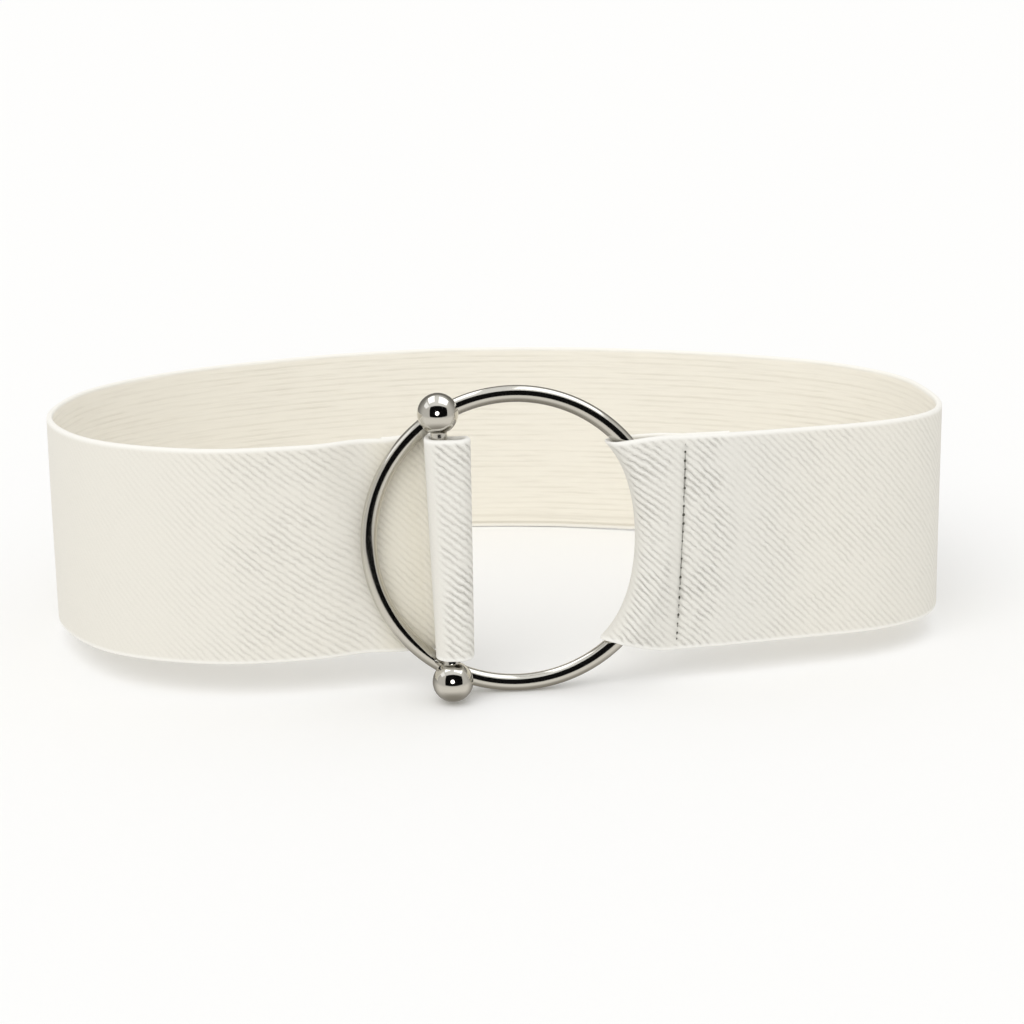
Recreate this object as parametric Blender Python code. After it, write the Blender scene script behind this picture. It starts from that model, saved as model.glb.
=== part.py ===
"""Elastic stretch belt with a ring and toggle buckle, standing as a closed loop, front towards -Y.

One woven elastic tape goes round the waist. Its right end is folded round a wire ring and sewn. Its left end
passes behind the ring, comes forward through it and is sewn round a bar with a ball on each end, which lies
across the front of the ring. The model is laid out upright in the belt's own frame, with the tape's lower
edge at height 0, and then leaned back until it stands on its rear lower edge and its lowest metal.
"""

import math

import bmesh
import bpy
import numpy as np
from mathutils import Matrix, Vector

# Driving dimensions, in metres.
BAND_WIDTH = 0.065          # height of the tape
BAND_THICKNESS = 0.0018
LOOP_WIDTH = 0.279          # outside of the loop, side to side
LOOP_DEPTH = 0.167          # outside of the loop, front panel to back
WIRE_DIAMETER = 0.005       # the ring's wire
BAR_DIAMETER = 0.0048
BALL_DIAMETER = 0.012
BAR_OFFSET = 0.0211         # bar to the left of the ring's middle
TAPE_PLAY = 0.0023          # between the tape's edges and the ring, where the bar crosses it
BALL_OVERHANG = 0.00175     # ball centres outside the wire's centre circle
SLEEVE_REACH = 0.0079       # bar's axis to the sleeve's right fold
SEAM_SETBACK = 0.0061       # ring's wire to the seam on its right
RIGHT_TAIL = 0.014          # free end of the tape behind the right seam
LEFT_TAIL = 0.010           # free end of the tape behind the left panel
RING_RISE = 0.0024          # ring's middle above the tape's middle
FOLD_SLACK = 0.0029         # the right fold stands off the wire at mid height
SLACK_POWER = 1.5           # and how fast that fades towards the tape's edges
FOLD_PINCH = 0.0043         # lower edge drawn up where it turns round the wire
RIM_DIP = 0.0020            # and upper edge drawn down there
SEAM_SLANT = 0.025          # top of the right seam to the right, for each unit of height
CLEARANCE = 0.0003          # between pieces that touch, and between layers of tape
WIRE_CLEARANCE = 0.0005     # between the wire and the tape that goes round it
RING_LEAN = math.radians(4.5)   # top of the ring back
RING_YAW = math.radians(4.0)    # right side of the ring back
BAR_TILT = math.radians(1.8)    # top of the bar to the left, in the ring's plane
RING_PLACE = (0.045, -0.904)    # ring's middle, as shares of half the loop's width and depth

# The tape's outer face seen from above. Depths are shares of half the loop's depth. Lean is the share of
# the ring's lean that the tape has there. Hem and rim lift its lower and upper edge, as shares of the
# ring's rise.
LEFT_PANEL = (
    # from the ring's left side to the loop's, deep, lean, hem, rim
    (0.097, -0.950, 0.55, 0.30, 0.00),
    (0.228, -0.985, 0.25, 0.10, 0.00),
    (0.373, -0.999, 0.08, 0.00, 0.00),
    (0.573, -0.958, 0.00, 0.00, 0.00),
    (0.763, -0.835, 0.00, 0.00, 0.00),
    (0.904, -0.630, 0.00, 0.00, 0.00),
    (0.986, -0.360, 0.00, 0.00, 0.00),
    (0.997, -0.130, 0.00, 0.00, 0.00),
)
BACK_PANEL = (
    # across, as a share of half the loop's width, deep
    (-0.970, 0.110),
    (-0.903, 0.320),
    (-0.805, 0.505),
    (-0.680, 0.665),
    (-0.520, 0.810),
    (-0.330, 0.925),
    (-0.110, 0.993),
    (0.110, 0.985),
    (0.330, 0.915),
    (0.530, 0.805),
    (0.710, 0.655),
    (0.860, 0.450),
    (0.960, 0.190),
)
RIGHT_PANEL = (
    # from the right seam to the loop's right side, deep, lean
    (0.995, -0.080, 0.00),
    (1.000, -0.310, 0.00),
    (0.934, -0.520, 0.00),
    (0.767, -0.668, 0.00),
    (0.535, -0.757, 0.00),
    (0.286, -0.828, 0.10),
    (0.101, -0.872, 0.20),
)
SEAM_DEPTH = -0.893         # right seam, as a share of half the loop's depth
SEAM_LEAN = 0.30
PASSAGE_LIFT = (0.80, 0.40)  # hem and rim where the tape passes the ring, as shares of its rise
PANEL_LIFT = (0.55, 0.05)    # and just left of the ring

# Finishes.
CREAM = (0.80, 0.77, 0.68)
NICKEL = (0.60, 0.58, 0.54)

# How finely round things are divided.
ROWS = (0.0, 0.05, 0.14, 0.26, 0.38, 0.50, 0.62, 0.74, 0.86, 0.95, 1.0)
LOOP_STEPS = 84
TAIL_STEPS = 3
FOLD_STEPS = 10
CORNER_STEPS = 4
RING_STEPS = 72
WIRE_STEPS = 12
BALL_STEPS = 9
BAR_STEPS = 20
FINE = 8                    # points of a smooth curve for each step of the mesh along it
SHARP_ANGLE = math.radians(40.0)
MERGE_DISTANCE = 1e-6

# What follows from them.
HALF_WIDTH = LOOP_WIDTH / 2
HALF_DEPTH = LOOP_DEPTH / 2
WIRE_RADIUS = WIRE_DIAMETER / 2
BAR_RADIUS = BAR_DIAMETER / 2
BALL_RADIUS = BALL_DIAMETER / 2
RING_RADIUS = math.hypot(BAND_WIDTH / 2 + TAPE_PLAY, BAR_OFFSET) + WIRE_RADIUS
LAYER = BAND_THICKNESS + CLEARANCE                  # one layer of tape and the gap beside it
BAR_WRAP = BAR_RADIUS + LAYER                       # bar's axis to the outer face of the tape round it
WIRE_BACK = WIRE_RADIUS + WIRE_CLEARANCE            # wire's middle to a face that rests against it
WIRE_WRAP = WIRE_BACK + BAND_THICKNESS              # wire's middle to the outer face of the tape round it
TAIL_BACK = BAND_THICKNESS + LAYER                  # outer face of a panel to the outer face of its tail
BALL_REACH = RING_RADIUS + BALL_OVERHANG
BALL_FORWARD = math.sqrt((BALL_RADIUS + WIRE_RADIUS + CLEARANCE) ** 2 - BALL_OVERHANG ** 2)

RING_MIDDLE = Vector((RING_PLACE[0] * HALF_WIDTH, RING_PLACE[1] * HALF_DEPTH, BAND_WIDTH / 2 + RING_RISE))
RING_ACROSS = Vector((math.cos(RING_YAW), math.sin(RING_YAW), 0.0))
RING_LEVEL = Vector((-math.sin(RING_YAW), math.cos(RING_YAW), 0.0))
RING_UP = math.cos(RING_LEAN) * Vector((0.0, 0.0, 1.0)) + math.sin(RING_LEAN) * RING_LEVEL
RING_FORWARD = RING_ACROSS.cross(RING_UP)
RING_SIDE = RING_MIDDLE.x - RING_RADIUS - WIRE_RADIUS / 2   # where the tape comes out from behind the ring


def ring_point(across, up, forward=0.0):
    """A point of the ring's own plane, in the belt's frame."""
    return RING_MIDDLE + across * RING_ACROSS + up * RING_UP + forward * RING_FORWARD


def ball_centre(side):
    """Centre of the upper (side 1) or lower (side -1) ball, which touches the front of the wire."""
    across = -BAR_OFFSET - side * BALL_REACH * math.cos(math.asin(BAR_OFFSET / BALL_REACH)) * math.tan(BAR_TILT)
    return ring_point(across, side * math.sqrt(BALL_REACH ** 2 - across ** 2), BALL_FORWARD)


def bar_at(height):
    """Where the bar's axis is at a height."""
    low, high = ball_centre(-1), ball_centre(1)
    return low.lerp(high, (height - low.z) / (high.z - low.z))


def wire_at(height, side):
    """Middle of the wire on the left (side -1) or right (side 1) at a height, and the half width that it
    takes there with its clearance, which grows as the wire slopes."""
    up = (height - RING_MIDDLE.z) / RING_UP.z
    across = math.sqrt(RING_RADIUS ** 2 - up ** 2)
    return ring_point(side * across, up), WIRE_BACK * RING_RADIUS / across


def behind_ring(x, height):
    """Depth of a face that rests against the back of the ring."""
    lean = (height - RING_MIDDLE.z) * math.tan(RING_LEAN)
    return RING_MIDDLE.y + (x - RING_MIDDLE.x) * math.tan(RING_YAW) + lean + WIRE_BACK


def smooth(t):
    """0 below 0, 1 above 1, and an even slope between."""
    t = min(max(t, 0.0), 1.0)
    return t * t * (3.0 - 2.0 * t)


def arc(middle, radius, start, end, steps):
    """Points of an arc, with its angles in degrees."""
    angles = np.radians(np.linspace(start, end, steps + 1))
    return [(middle[0] + radius * math.cos(a), middle[1] + radius * math.sin(a)) for a in angles]


def spline(points, count):
    """Many points of a natural cubic spline through rows of values, by the length of its first two."""
    values = np.array(points, float)
    gaps = np.hypot(*np.diff(values[:, :2], axis=0).T)
    knots = np.concatenate(([0.0], np.cumsum(gaps)))
    size = len(values)
    matrix = np.eye(size)
    right = np.zeros_like(values)
    for i in range(1, size - 1):
        matrix[i, i - 1:i + 2] = gaps[i - 1], 2.0 * (gaps[i - 1] + gaps[i]), gaps[i]
        slopes = (values[i + 1] - values[i]) / gaps[i], (values[i] - values[i - 1]) / gaps[i - 1]
        right[i] = 6.0 * (slopes[0] - slopes[1])
    bends = np.linalg.solve(matrix, right)
    places = np.linspace(0.0, knots[-1], count)
    cells = np.clip(np.searchsorted(knots, places, side="right") - 1, 0, size - 2)
    step = gaps[cells][:, None]
    ahead = (knots[cells + 1] - places)[:, None]
    past = (places - knots[cells])[:, None]
    start, end = values[cells], values[cells + 1]
    bend_a, bend_b = bends[cells], bends[cells + 1]
    curve = (bend_a * ahead ** 3 + bend_b * past ** 3) / (6.0 * step)
    curve += (start / step - bend_a * step / 6.0) * ahead
    return curve + (end / step - bend_b * step / 6.0) * past


def inward(path):
    """Unit normals to the right of a path, mitred so that an offset keeps its distance."""
    path = np.asarray(path, float)
    steps = np.diff(path[:, :2], axis=0)
    normals = np.stack((steps[:, 1], -steps[:, 0]), 1) / np.linalg.norm(steps, axis=1)[:, None]
    before = np.vstack((normals[:1], normals))
    after = np.vstack((normals, normals[-1:]))
    return (before + after) / (1.0 + (before * after).sum(1))[:, None]


def panel_row(share, start, seam):
    """The tape's outer face round the loop in one row: x, y, lift of the hem and of the rim."""
    height = share * BAND_WIDTH
    lean = (height - BAND_WIDTH / 2) * math.tan(RING_LEAN)
    points = [(start[0], start[1], PASSAGE_LIFT[0], PASSAGE_LIFT[1])]
    for x in ((start[0] + RING_SIDE) / 2, RING_SIDE):
        points.append((x, behind_ring(x, height), PANEL_LIFT[0], PANEL_LIFT[1]))
    for across, deep, lean_share, hem, rim in LEFT_PANEL:
        x = RING_SIDE - across * (HALF_WIDTH + RING_SIDE)
        points.append((x, deep * HALF_DEPTH + lean_share * lean, hem, rim))
    for across, deep in BACK_PANEL:
        points.append((across * HALF_WIDTH, deep * HALF_DEPTH, 0.0, 0.0))
    for across, deep, lean_share in RIGHT_PANEL:
        x = seam[0] + across * (HALF_WIDTH - seam[0])
        points.append((x, deep * HALF_DEPTH + lean_share * lean, 0.0, 0.0))
    points.append((seam[0], seam[1], 0.0, 0.0))
    fine = spline(points, FINE * LOOP_STEPS)
    length = np.concatenate(([0.0], np.cumsum(np.hypot(*np.diff(fine[:, :2], axis=0).T))))
    marks = np.concatenate((
        np.linspace(0.0, LEFT_TAIL, TAIL_STEPS + 1)[:-1],
        np.linspace(LEFT_TAIL, length[-1] - RIGHT_TAIL, LOOP_STEPS + 1),
        np.linspace(length[-1] - RIGHT_TAIL, length[-1], TAIL_STEPS + 1)[1:],
    ))
    return np.stack([np.interp(marks, length, fine[:, i]) for i in range(4)], 1)


def tape_row(share):
    """One row of the tape's outer face, from the left free end to the right one, as x, y, z."""
    height = share * BAND_WIDTH
    lean = (height - BAND_WIDTH / 2) * math.tan(RING_LEAN)

    # The sleeve round the bar, and the passage through the ring.
    sleeve_height = height + RING_RISE
    bar = bar_at(sleeve_height)
    sleeve_right = max(bar_at(RING_MIDDLE.z).x + SLEEVE_REACH, bar.x + BAR_WRAP)
    pocket = (sleeve_right - BAR_WRAP, bar.y)
    lift = PASSAGE_LIFT[0] * (1.0 - share) + PASSAGE_LIFT[1] * share
    pass_height = height + lift * RING_RISE
    wire, half = wire_at(pass_height, -1)
    flank = bar.x - BAR_WRAP
    passage = max(flank, wire.x + half)
    pivot = (passage - WIRE_BACK, behind_ring(passage - WIRE_BACK, pass_height) - WIRE_BACK)
    turn_out = 90.0 + math.degrees(RING_YAW)
    round_wire = arc(pivot, WIRE_BACK, 0.0, turn_out, CORNER_STEPS)
    inner_turn = (passage + TAIL_BACK + CLEARANCE, bar.y + BAR_WRAP + CLEARANCE)
    sleeve = arc(pivot, WIRE_BACK + TAIL_BACK, turn_out, 0.0, CORNER_STEPS)
    sleeve += arc(inner_turn, CLEARANCE, 180.0, 270.0, CORNER_STEPS)
    sleeve += arc(pocket, BAR_WRAP, 90.0, -90.0, FOLD_STEPS)
    sleeve += arc((bar.x, bar.y), BAR_WRAP, -90.0, -180.0, FOLD_STEPS // 2)
    for step in range(1, CORNER_STEPS):
        t = step / CORNER_STEPS
        sleeve.append((flank + (passage - flank) * smooth(t), bar.y + (pivot[1] - bar.y) * t))
    sleeve += round_wire

    # The fold round the ring on the right.
    pinch = FOLD_PINCH * (1.0 - share) - RIM_DIP * share
    wire, half = wire_at(height + pinch, 1)
    slack = FOLD_SLACK * (4.0 * share * (1.0 - share)) ** SLACK_POWER
    fold = wire.x - half - BAND_THICKNESS - slack
    fold_middle = Vector((fold + WIRE_WRAP, wire.y))
    front = Vector((max(wire.x, fold_middle.x), wire_at(height, 1)[0].y))
    back = Vector((front.x, wire.y))
    seam_x = RING_MIDDLE.x + RING_RADIUS * RING_ACROSS.x + SEAM_SETBACK
    seam = (seam_x + SEAM_SLANT * (height - BAND_WIDTH / 2), SEAM_DEPTH * HALF_DEPTH + SEAM_LEAN * lean)
    panel = panel_row(share, round_wire[-1], seam)
    normals = inward(panel)
    tail = panel[:, :2] + TAIL_BACK * normals
    right = tangent_arc(front, WIRE_WRAP, panel[-1], -1)
    right += arc(fold_middle, WIRE_WRAP, -90.0, -270.0, FOLD_STEPS)
    right += tangent_arc(back, WIRE_WRAP, tail[-1], 1)[::-1]

    # Heights along the row.
    rise = RING_RISE * (panel[:, 2] * (1.0 - share) + panel[:, 3] * share)
    left_tail = [(x, y, height + z) for (x, y), z in zip(tail[TAIL_STEPS:0:-1], rise[TAIL_STEPS:0:-1])]
    points = list(left_tail)
    for i, (x, y) in enumerate(sleeve):
        nearness = smooth((y - bar.y - BAR_RADIUS) / (pivot[1] - bar.y - BAR_RADIUS))
        points.append((x, y, sleeve_height + (pass_height - sleeve_height) * nearness))
    points += [(x, y, height + z) for (x, y), z in zip(panel[1:, :2], rise[1:])]
    pinch_from = RING_MIDDLE.x + RING_RADIUS - WIRE_RADIUS
    for x, y in right:
        points.append((x, y, height + pinch * smooth((pinch_from - x) / (pinch_from - fold))))
    points += [(x, y, height) for x, y in tail[:-TAIL_STEPS - 2:-1]]
    return np.array(points)


def tangent_arc(middle, radius, outside, side):
    """Arc round the wire, from where a line from an outside point touches it to its front (side -1) or back."""
    offset = Vector((outside[0] - middle.x, outside[1] - middle.y))
    turn = math.acos(min(radius / offset.length, 1.0))
    touch = math.degrees(math.atan2(offset.y, offset.x) + side * turn)
    return arc((middle.x, middle.y), radius, touch, side * 90.0, CORNER_STEPS - 1)


def new_object(name, mesh, colour, metallic, roughness):
    """A named object with its own material, smooth where it is round."""
    mesh.shade_smooth()
    mesh.set_sharp_from_angle(angle=SHARP_ANGLE)
    material = bpy.data.materials.new(name + "_finish")
    material.use_nodes = True
    shader = material.node_tree.nodes["Principled BSDF"]
    shader.inputs["Base Color"].default_value = (*colour, 1.0)
    shader.inputs["Metallic"].default_value = metallic
    shader.inputs["Roughness"].default_value = roughness
    mesh.materials.append(material)
    piece = bpy.data.objects.new(name, mesh)
    bpy.context.collection.objects.link(piece)
    return piece


def make_band():
    """The tape: each station is a closed section, and the sections are joined from end to end."""
    rows = [tape_row(share) for share in ROWS]
    outer = np.stack(rows, 1)
    inner = outer.copy()
    for i, row in enumerate(rows):
        inner[:, i, :2] += BAND_THICKNESS * inward(row)
    mesh = bmesh.new()
    sections = []
    for outside, inside in zip(outer, inner):
        sections.append([mesh.verts.new(point) for point in (*outside, *inside[::-1])])
    size = len(sections[0])
    for here, following in zip(sections, sections[1:]):
        for i in range(size):
            k = (i + 1) % size
            mesh.faces.new((here[i], following[i], following[k], here[k]))
    for section, flip in ((sections[0], False), (sections[-1], True)):
        for i in range(len(ROWS) - 1):
            face = (section[i], section[i + 1], section[size - 2 - i], section[size - 1 - i])
            mesh.faces.new(face[::-1] if flip else face)
    bmesh.ops.recalc_face_normals(mesh, faces=mesh.faces)
    data = bpy.data.meshes.new("elastic_band")
    mesh.to_mesh(data)
    mesh.free()
    return new_object("elastic_band", data, CREAM, 0.0, 0.9)


def make_ring():
    """The round wire ring."""
    bpy.ops.mesh.primitive_torus_add(
        major_segments=RING_STEPS, minor_segments=WIRE_STEPS,
        major_radius=RING_RADIUS, minor_radius=WIRE_RADIUS,
    )
    made = bpy.context.object
    turn = Matrix((RING_ACROSS, RING_UP, RING_FORWARD)).transposed().to_4x4()
    data = made.data.copy()
    bpy.data.objects.remove(made)
    ring = new_object("buckle_ring", data, NICKEL, 1.0, 0.15)
    ring.matrix_local = Matrix.Translation(RING_MIDDLE) @ turn
    return ring


def make_bar():
    """The bar and its two balls, soldered into one, turned about their axis."""
    low, high = ball_centre(-1), ball_centre(1)
    length = (high - low).length
    neck = math.asin(BAR_RADIUS / BALL_RADIUS)
    angles = np.linspace(-math.pi / 2, math.pi / 2 - neck, BALL_STEPS + 1)
    lower = [(BALL_RADIUS * math.cos(a), BALL_RADIUS * math.sin(a)) for a in angles]
    lower[0] = (0.0, -BALL_RADIUS)
    profile = lower + [(r, length - z) for r, z in reversed(lower)]
    mesh = bmesh.new()
    verts = [mesh.verts.new((r, 0.0, z)) for r, z in profile]
    edges = [mesh.edges.new(pair) for pair in zip(verts, verts[1:])]
    bmesh.ops.spin(
        mesh, geom=verts + edges, cent=(0.0, 0.0, 0.0), axis=(0.0, 0.0, 1.0),
        angle=2.0 * math.pi, steps=BAR_STEPS, use_merge=True,
    )
    bmesh.ops.remove_doubles(mesh, verts=mesh.verts, dist=MERGE_DISTANCE)
    bmesh.ops.recalc_face_normals(mesh, faces=mesh.faces)
    data = bpy.data.meshes.new("toggle_bar")
    mesh.to_mesh(data)
    mesh.free()
    bar = new_object("toggle_bar", data, NICKEL, 1.0, 0.15)
    turn = (high - low).to_track_quat("Z", "Y").to_matrix().to_4x4()
    bar.matrix_local = Matrix.Translation(low) @ turn
    return bar


def stand(pieces):
    """Leans the belt back onto its rear lower edge and its lowest metal, centred over the origin."""
    bpy.context.view_layer.update()
    band = next(piece for piece in pieces if piece.name == "elastic_band")
    rear = max(v.co.y for v in band.data.vertices)
    metal = [p.matrix_local @ v.co for p in pieces if p is not band for v in p.data.vertices]
    lean = max(math.atan2(-point.z, rear - point.y) for point in metal)
    turn = Matrix.Rotation(-lean, 4, "X")
    points = [turn @ piece.matrix_local @ v.co for piece in pieces for v in piece.data.vertices]
    low = [min(point[i] for point in points) for i in range(3)]
    high = [max(point[i] for point in points) for i in range(3)]
    place = Vector((-(low[0] + high[0]) / 2, -(low[1] + high[1]) / 2, -low[2]))
    frame = bpy.data.objects.new("belt_frame", None)
    bpy.context.collection.objects.link(frame)
    frame.matrix_world = Matrix.Translation(place) @ turn
    for piece in pieces:
        piece.parent = frame


for leftover in list(bpy.data.objects):
    bpy.data.objects.remove(leftover)
stand([make_band(), make_ring(), make_bar()])
bpy.context.view_layer.update()
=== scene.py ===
"""Elastic stretch belt with a ring and toggle buckle: woven tape, polished metal, sewing, light and camera.

The tape is one long loft round the same path as the solid that it replaces. It is worked out in the
belt's own frame, with the tape's lower edge at height 0 and the front towards -Y, and then leaned back
as the belt stands.
"""

import math
import random

import bpy
import numpy as np
from mathutils import Matrix, Vector


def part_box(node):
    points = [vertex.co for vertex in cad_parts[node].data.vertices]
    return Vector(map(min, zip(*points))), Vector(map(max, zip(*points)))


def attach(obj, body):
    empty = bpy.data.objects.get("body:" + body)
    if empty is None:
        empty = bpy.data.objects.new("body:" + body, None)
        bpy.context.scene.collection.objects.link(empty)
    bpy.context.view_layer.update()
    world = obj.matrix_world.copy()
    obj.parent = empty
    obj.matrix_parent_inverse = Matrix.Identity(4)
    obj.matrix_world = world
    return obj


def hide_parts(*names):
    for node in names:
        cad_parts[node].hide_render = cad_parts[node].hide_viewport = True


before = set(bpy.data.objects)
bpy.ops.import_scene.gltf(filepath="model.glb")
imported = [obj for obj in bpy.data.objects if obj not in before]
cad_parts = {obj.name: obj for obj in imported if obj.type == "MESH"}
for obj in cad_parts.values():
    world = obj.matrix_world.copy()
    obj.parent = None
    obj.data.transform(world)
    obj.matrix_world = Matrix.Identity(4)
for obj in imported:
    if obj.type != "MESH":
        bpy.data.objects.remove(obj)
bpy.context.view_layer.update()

# The belt's sizes, in metres.
BAND_WIDTH = 0.065
BAND_THICKNESS = 0.0018
LOOP_WIDTH = 0.279
LOOP_DEPTH = 0.167
WIRE_RADIUS = 0.0025
BAR_RADIUS = 0.0024
BALL_RADIUS = 0.006
BAR_OFFSET = 0.0211
TAPE_PLAY = 0.0023
BALL_OVERHANG = 0.00175
SLEEVE_REACH = 0.0079
SEAM_SETBACK = 0.0061
RIGHT_TAIL = 0.014
LEFT_TAIL = 0.010
RING_RISE = 0.0024
FOLD_SLACK = 0.0029
SLACK_POWER = 1.5
FOLD_PINCH = 0.0043
RIM_DIP = 0.0016
SEAM_SLANT = 0.045
CLEARANCE = 0.0003
WIRE_CLEARANCE = 0.0005
RING_LEAN = math.radians(4.5)
RING_YAW = math.radians(4.0)
BAR_TILT = math.radians(1.8)
STAND_LEAN = math.radians(3.754)    # the whole belt, back onto its rear lower edge
RING_PLACE = (0.045, -0.904)

# The tape's outer face seen from above, as shares of half the loop's width and depth.
LEFT_PANEL = (
    # from the ring's left side to the loop's, deep, lean, hem, rim
    (0.097, -0.950, 0.55, 0.30, 0.00),
    (0.228, -0.985, 0.25, 0.10, 0.00),
    (0.373, -0.999, 0.08, 0.00, 0.00),
    (0.573, -0.958, 0.00, 0.00, 0.00),
    (0.763, -0.835, 0.00, 0.00, 0.00),
    (0.904, -0.630, 0.00, 0.00, 0.00),
    (0.986, -0.360, 0.00, 0.00, 0.00),
    (0.997, -0.130, 0.00, 0.00, 0.00),
)
BACK_PANEL = (
    # across, deep
    (-0.970, 0.110),
    (-0.903, 0.320),
    (-0.805, 0.505),
    (-0.680, 0.665),
    (-0.520, 0.810),
    (-0.330, 0.925),
    (-0.110, 0.993),
    (0.110, 0.985),
    (0.330, 0.915),
    (0.530, 0.805),
    (0.710, 0.655),
    (0.860, 0.450),
    (0.960, 0.190),
)
RIGHT_PANEL = (
    # from the right seam to the loop's right side, deep, lean
    (0.995, -0.080, 0.00),
    (1.000, -0.310, 0.00),
    (0.934, -0.520, 0.00),
    (0.767, -0.668, 0.00),
    (0.535, -0.757, 0.00),
    (0.286, -0.828, 0.10),
    (0.101, -0.872, 0.20),
)
SEAM_DEPTH = -0.893
SEAM_LEAN = 0.30
PASSAGE_LIFT = (0.80, 0.40)
PANEL_LIFT = (0.55, 0.05)

# The tape's own detail.
EDGE_ROUND = 0.0007         # its woven edges
GROOVE_DEPTH = 0.00050      # where the stitches pull it in
GROOVE_WIDTH = 0.0009
GROOVE_ENDS = 0.35          # share of its depth beyond the seam's ends
GROOVE_RIPPLE = 0.2         # share of its depth that comes and goes from stitch to stitch
SHADE_WIDTH = 0.0008        # half width of the painted shade along the sewn seams
STITCH_PITCH = 0.0027
THREAD_RADIUS = 0.00027
SEAM_LOW = 0.0022           # seam's ends to the tape's edges
SEAM_HIGH = 0.0034
SEAM_BOW = 0.0005           # the sewn line isn't quite straight
SEWING_SEED = 7
STITCH_LENGTH = (0.0023, 0.0027)
SUNK_LENGTH = (0.0007, 0.0013)      # what shows of a stitch that has sunk into the tape
SUNK_SHARE = 0.30           # of the seam, from its lower end
# the needle holes are small dark pieces of painted shade
HOLE_RADIUS = (0.00034, 0.00056)
HOLE_SHAPE = (1.0, 0.7, 1.1, 1.0)   # across, outwards and along the seam
HEIGHT_PLAY = 0.0002
DEPTH_PLAY = 0.3
SLANT_PLAY = 0.12
TAIL_SHOW = 0.00030         # the tail behind a panel lifts it this much
TAIL_SHOW_WIDTH = 0.0022
WAVE_HEIGHT = 0.00035       # slow unevenness of the tape
WAVES = (
    # part of the height, radians for each metre, drift from hem to rim, start
    (0.6, 74.0, 2.1, 0.0),
    (0.4, 139.0, -1.3, 1.0),
)
WAVE_FADE = 0.03            # towards the sewn ends
PULL_FADE = 0.001           # of the groove, beyond the seam's ends
TWILL_PITCH = 0.0023        # height from one diagonal to the next
YARN_PITCH = 0.00105
TWILL_RELIEF = 0.00042
RIB_PITCH = 0.0019
RIB_RELIEF = 0.00016
EDGE_START = 0.0004         # the calm woven edges and their painted highlight fade out between these two heights
EDGE_END = 0.0017
HEM_LINES = (
    # height above the hem, half width, flat share of it, strength
    (0.0018, 0.0006, 0.2, 1.00),
    (0.0042, 0.0009, 0.1, 0.45),
)
TWIST_PITCH = 0.00045       # of the sewing thread
RINGLET = 0.0005            # hollow where each ball meets the bar

# How the outer weave lies along the tape, as metres from its start, the middle of the strip to the
# sleeve, the place where it leaves the ring, the tail's edge behind it, the right seam and the middle
# of the fold.
SLANTS = (
    # from, metres along the tape, rise of a diagonal for each metre
    ("tail", 0.000, 0.78),
    ("leaving", -0.004, 0.78),
    ("leaving", 0.004, 1.05),
    ("leaving", 0.022, 0.66),
    ("leaving", 0.060, 0.90),
    ("leaving", 0.120, 1.12),
    ("seam", -0.100, 1.05),
    ("seam", -0.004, 0.92),
    ("seam", 0.004, 0.82),
    ("fold", 0.000, 0.68),
)
BOLDNESS = (
    # from, metres along the tape, how deep the diagonals are and how dark their painted shade is
    ("strip", -0.0050, 1.00),
    ("strip", -0.0026, 0.05),
    ("strip", 0.0022, 0.05),
    ("strip", 0.0040, 0.45),
    ("leaving", 0.004, 0.32),
    ("leaving", 0.014, 0.40),
    ("leaving", 0.032, 0.62),
    ("leaving", 0.052, 0.56),
    ("leaving", 0.064, 0.34),
    ("leaving", 0.078, 0.12),
    ("leaving", 0.150, 0.07),
    ("leaving", 0.200, 0.32),
    ("seam", -0.150, 0.34),
    ("seam", -0.090, 0.30),
    ("seam", -0.050, 0.50),
    ("seam", -0.026, 0.60),
    ("tail_edge", -0.0065, 0.52),
    ("tail_edge", -0.0025, 0.30),
    ("tail_edge", 0.0020, 0.75),
    ("seam", -0.0085, 1.10),
    ("seam", -0.0004, 1.10),
    ("seam", 0.0008, 0.42),
    ("seam", 0.0028, 0.42),
    ("seam", 0.0048, 0.85),
    ("fold", -0.0046, 0.95),
    ("fold", -0.0022, 0.10),
    ("fold", 0.0030, 0.10),
    ("fold", 0.0060, 0.60),
)
SHADE_TINTS = (
    # from, metres along the tape, painted shade tint: 0 warm shade to 0.5 calm to 1 the slack ends' grey
    # shade
    ("strip", 0.000, 1.0),
    ("strip", 0.006, 0.0),
    ("leaving", 0.008, 0.0),
    ("leaving", 0.016, 0.5),
    ("seam", -0.050, 0.5),
    ("seam", -0.012, 1.0),
)
EDGE_DRIFT = 0.0022         # the calm stretch at the tail's edge isn't straight

# How finely things are divided.
OUTER_ROWS = 46
INNER_ROWS = 26
EDGE_STEPS = 4
LOOP_STEPS = 520
TAIL_STEPS = 12
SEAM_STEPS = 40
LEAD_STEPS = 12
FOLD_STEPS = 26
CORNER_STEPS = 8
FINE = 4
RING_STEPS = 240
WIRE_STEPS = 40
THREAD_SEGMENTS = 10
THREAD_RINGS = 8
NECK_STEPS = 6
BALL_SEGMENTS = 64
BALL_RINGS = 48
ROOM_SEGMENTS = 48
SHARP_TAPE = math.radians(50.0)
SHARP_PIECE = math.radians(40.0)

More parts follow.
